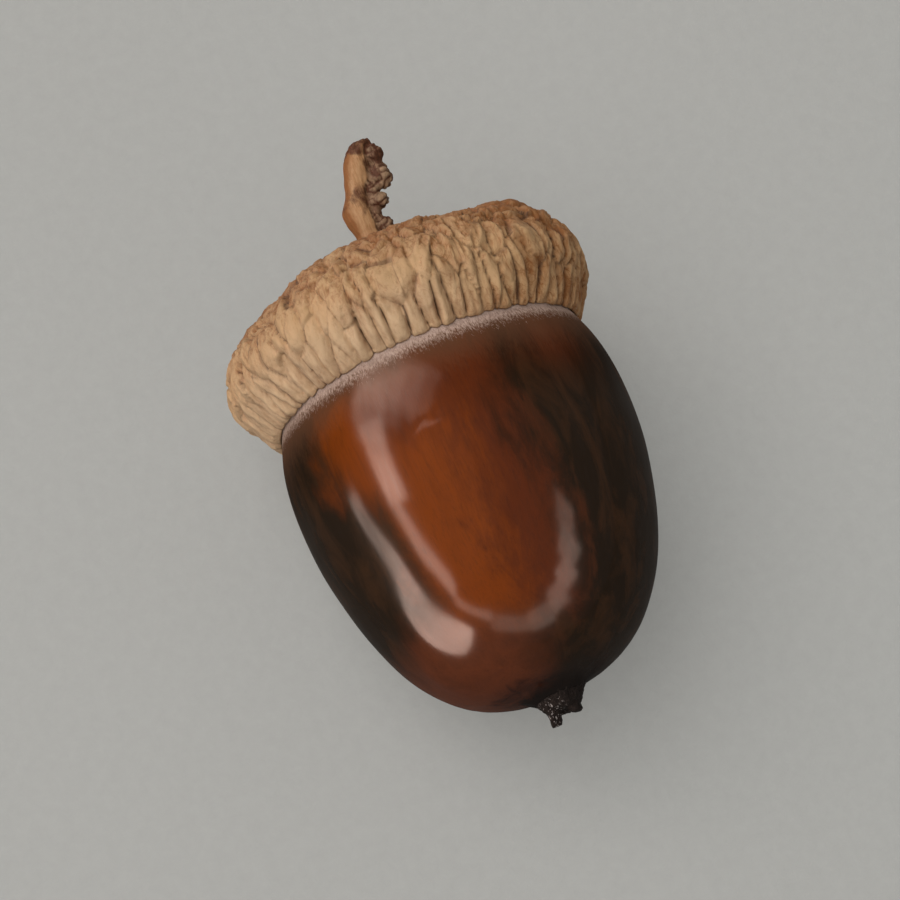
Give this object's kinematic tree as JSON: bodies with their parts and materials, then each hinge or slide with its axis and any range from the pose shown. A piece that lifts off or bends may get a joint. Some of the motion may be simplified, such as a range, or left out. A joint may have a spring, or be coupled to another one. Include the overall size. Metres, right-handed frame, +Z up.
{
  "type": "acorn",
  "caption": "Brown acorn lying on its side: a glossy nut with dark style remains, held in a wrinkled, folded cup on a short knobbly stem.",
  "frame": {"origin": "on the surface that the acorn lies on, under the middle of its bounding box", "axes": "+X along the acorn from the stem to the nut's point, dipping by 5.5 degrees; +Y to the side where the stem's knobs are; +Z up"},
  "size_m": [0.0372, 0.0224, 0.022],
  "materials": {
    "nut_shell": "polished, smooth thin shell",
    "dry_style": "matte, dry and shrivelled",
    "cup_scales": "matte, dry and wrinkled",
    "stem_bark": "matte, dry bark"
  },
  "bodies": {
    "root": {"nut": "nut_shell", "style_remains": "dry_style", "cup": "cup_scales", "stem": "stem_bark"}
  },
  "joints": []
}
